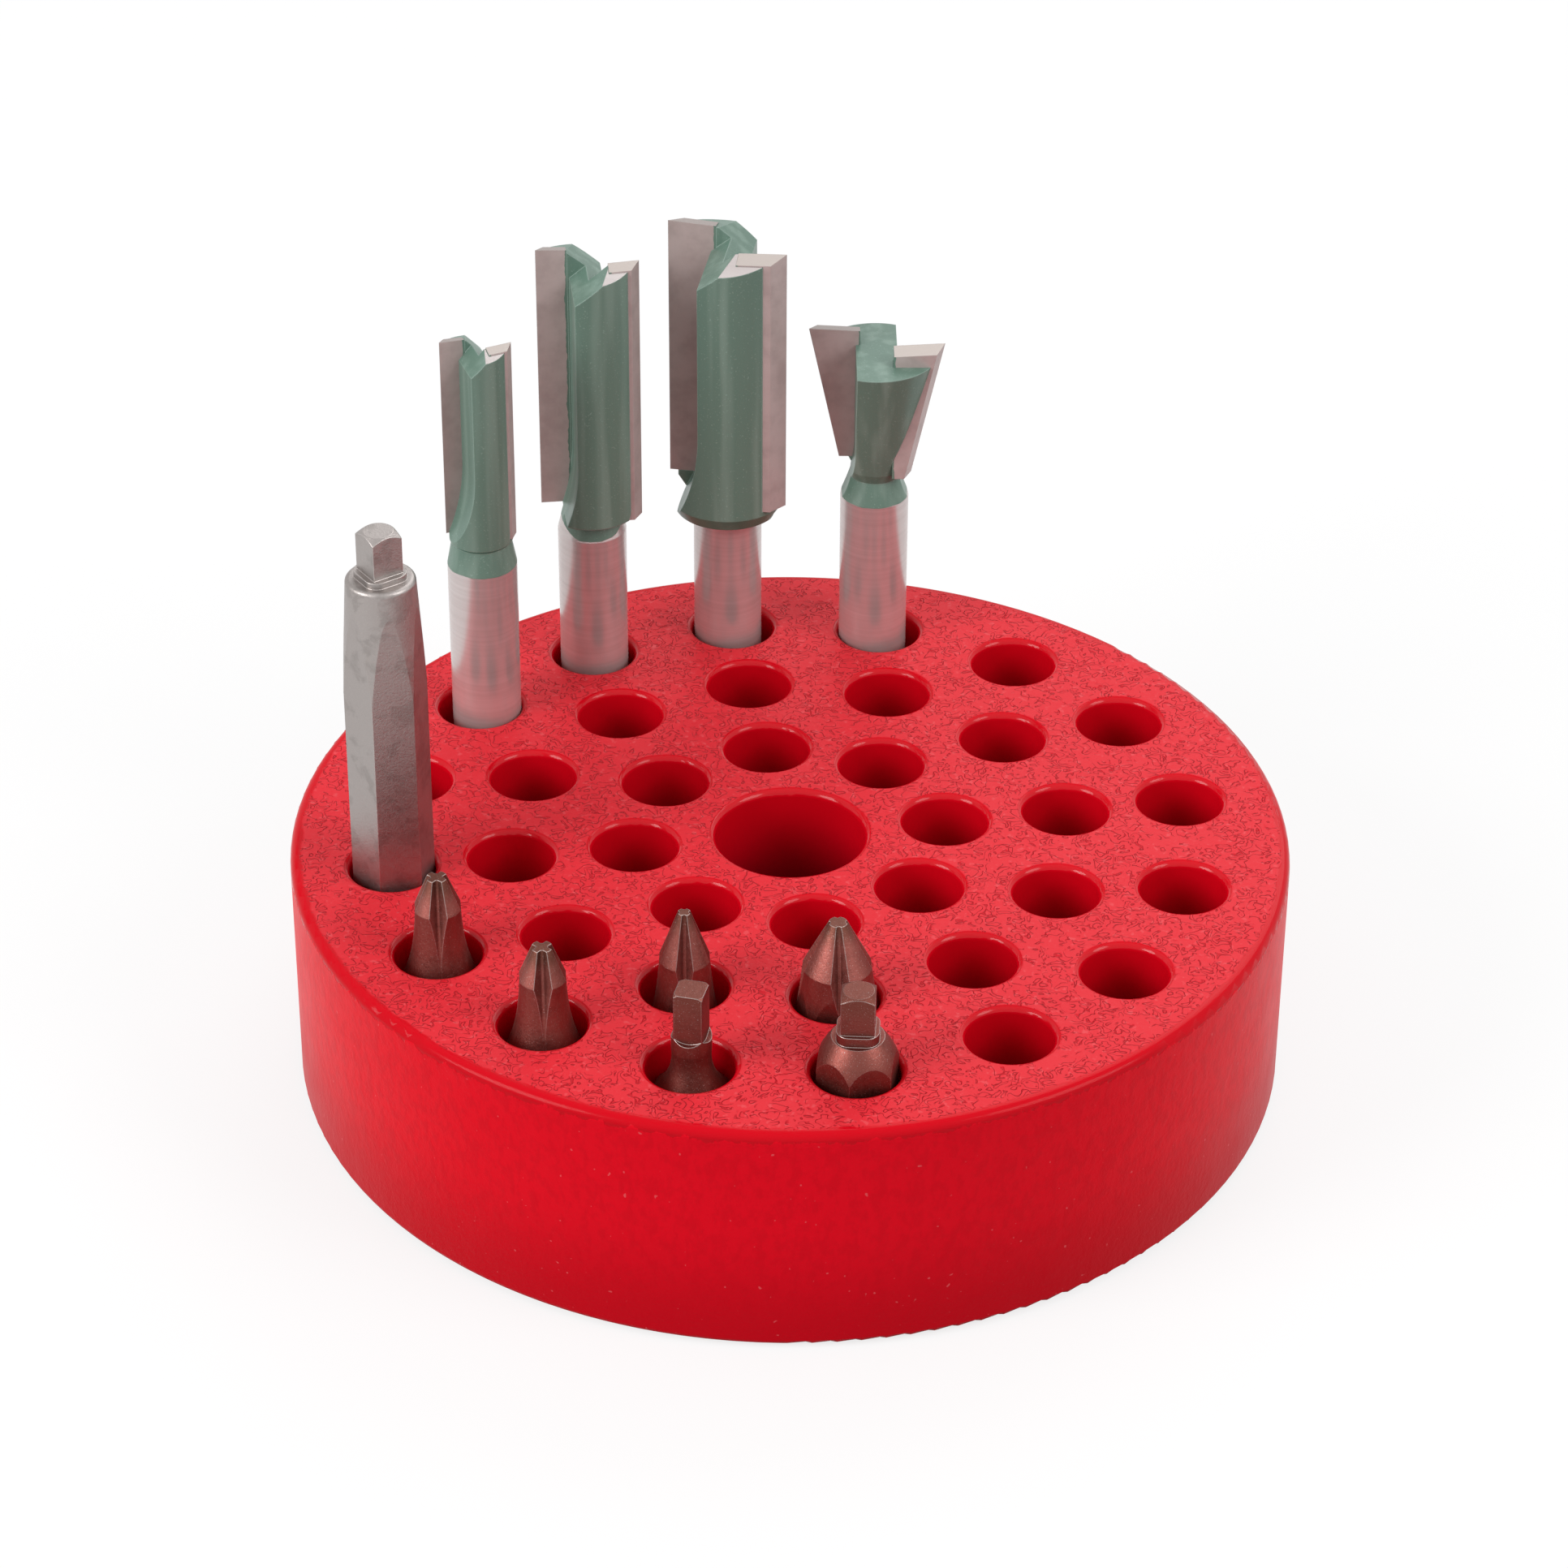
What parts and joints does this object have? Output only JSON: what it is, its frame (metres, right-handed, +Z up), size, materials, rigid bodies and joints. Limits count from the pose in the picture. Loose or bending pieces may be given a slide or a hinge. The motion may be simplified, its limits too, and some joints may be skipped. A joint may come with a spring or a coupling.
{
  "type": "magnetic bit holder",
  "caption": "Round magnetic bench holder with rings of bit sockets round a wider middle socket. Its screwdriver and router bits lift out.",
  "frame": {"origin": "on the table, under the middle of the holder", "axes": "+Z up out of the sockets; -Y towards the front, where the picture's camera stood; +Y towards the router bits at the back"},
  "size_m": [0.0888, 0.0888, 0.0643],
  "materials": {
    "red_plastic": "moulded, satin side, finely grained top, smooth sockets",
    "plate_steel": "zinc plated",
    "black_plastic": "moulded",
    "pad_rubber": "matt",
    "screw_steel": "zinc plated",
    "magnet_nickel": "nickel plated",
    "power_steel": "grey, sandblasted",
    "bit_steel": "grey, lightly brushed",
    "cutter_steel": "ground bright shank, green enamelled head",
    "carbide": "ground carbide"
  },
  "bodies": {
    "holder": {"holder_body": "red_plastic", "keeper_plate": "plate_steel", "magnet_carrier": "black_plastic", "base_screws": "screw_steel", "magnet_1": "magnet_nickel", "magnet_2": "magnet_nickel", "magnet_3": "magnet_nickel", "magnet_4": "magnet_nickel", "magnet_5": "magnet_nickel", "magnet_6": "magnet_nickel", "base_pad": "pad_rubber"},
    "power_bit": {"power_bit": "power_steel"},
    "phillips_bit_a": {"phillips_bit_a": "bit_steel"},
    "phillips_bit_b": {"phillips_bit_b": "bit_steel"},
    "slim_phillips_bit": {"slim_phillips_bit": "bit_steel"},
    "large_phillips_bit": {"large_phillips_bit": "bit_steel"},
    "small_square_bit": {"small_square_bit": "bit_steel"},
    "large_square_bit": {"large_square_bit": "bit_steel"},
    "small_straight_bit": {"small_straight_bit_body": "cutter_steel", "small_straight_bit_tip_1": "carbide", "small_straight_bit_tip_2": "carbide"},
    "medium_straight_bit": {"medium_straight_bit_body": "cutter_steel", "medium_straight_bit_tip_1": "carbide", "medium_straight_bit_tip_2": "carbide"},
    "large_straight_bit": {"large_straight_bit_body": "cutter_steel", "large_straight_bit_tip_1": "carbide", "large_straight_bit_tip_2": "carbide"},
    "dovetail_bit": {"dovetail_bit_body": "cutter_steel", "dovetail_bit_tip_1": "carbide", "dovetail_bit_tip_2": "carbide"}
  },
  "joints": [
    {"name": "power_bit_lift", "type": "slide", "parent": "holder", "child": "power_bit", "axis": [0, 0, 1], "range_m": [0, 0.02]},
    {"name": "phillips_bit_a_lift", "type": "slide", "parent": "holder", "child": "phillips_bit_a", "axis": [0, 0, 1], "range_m": [0, 0.02]},
    {"name": "phillips_bit_b_lift", "type": "slide", "parent": "holder", "child": "phillips_bit_b", "axis": [0, 0, 1], "range_m": [0, 0.02]},
    {"name": "slim_phillips_bit_lift", "type": "slide", "parent": "holder", "child": "slim_phillips_bit", "axis": [0, 0, 1], "range_m": [0, 0.02]},
    {"name": "large_phillips_bit_lift", "type": "slide", "parent": "holder", "child": "large_phillips_bit", "axis": [0, 0, 1], "range_m": [0, 0.02]},
    {"name": "small_square_bit_lift", "type": "slide", "parent": "holder", "child": "small_square_bit", "axis": [0, 0, 1], "range_m": [0, 0.02]},
    {"name": "large_square_bit_lift", "type": "slide", "parent": "holder", "child": "large_square_bit", "axis": [0, 0, 1], "range_m": [0, 0.02]},
    {"name": "small_straight_bit_lift", "type": "slide", "parent": "holder", "child": "small_straight_bit", "axis": [0, 0, 1], "range_m": [0, 0.02]},
    {"name": "medium_straight_bit_lift", "type": "slide", "parent": "holder", "child": "medium_straight_bit", "axis": [0, 0, 1], "range_m": [0, 0.02]},
    {"name": "large_straight_bit_lift", "type": "slide", "parent": "holder", "child": "large_straight_bit", "axis": [0, 0, 1], "range_m": [0, 0.02]},
    {"name": "dovetail_bit_lift", "type": "slide", "parent": "holder", "child": "dovetail_bit", "axis": [0, 0, 1], "range_m": [0, 0.02]}
  ]
}
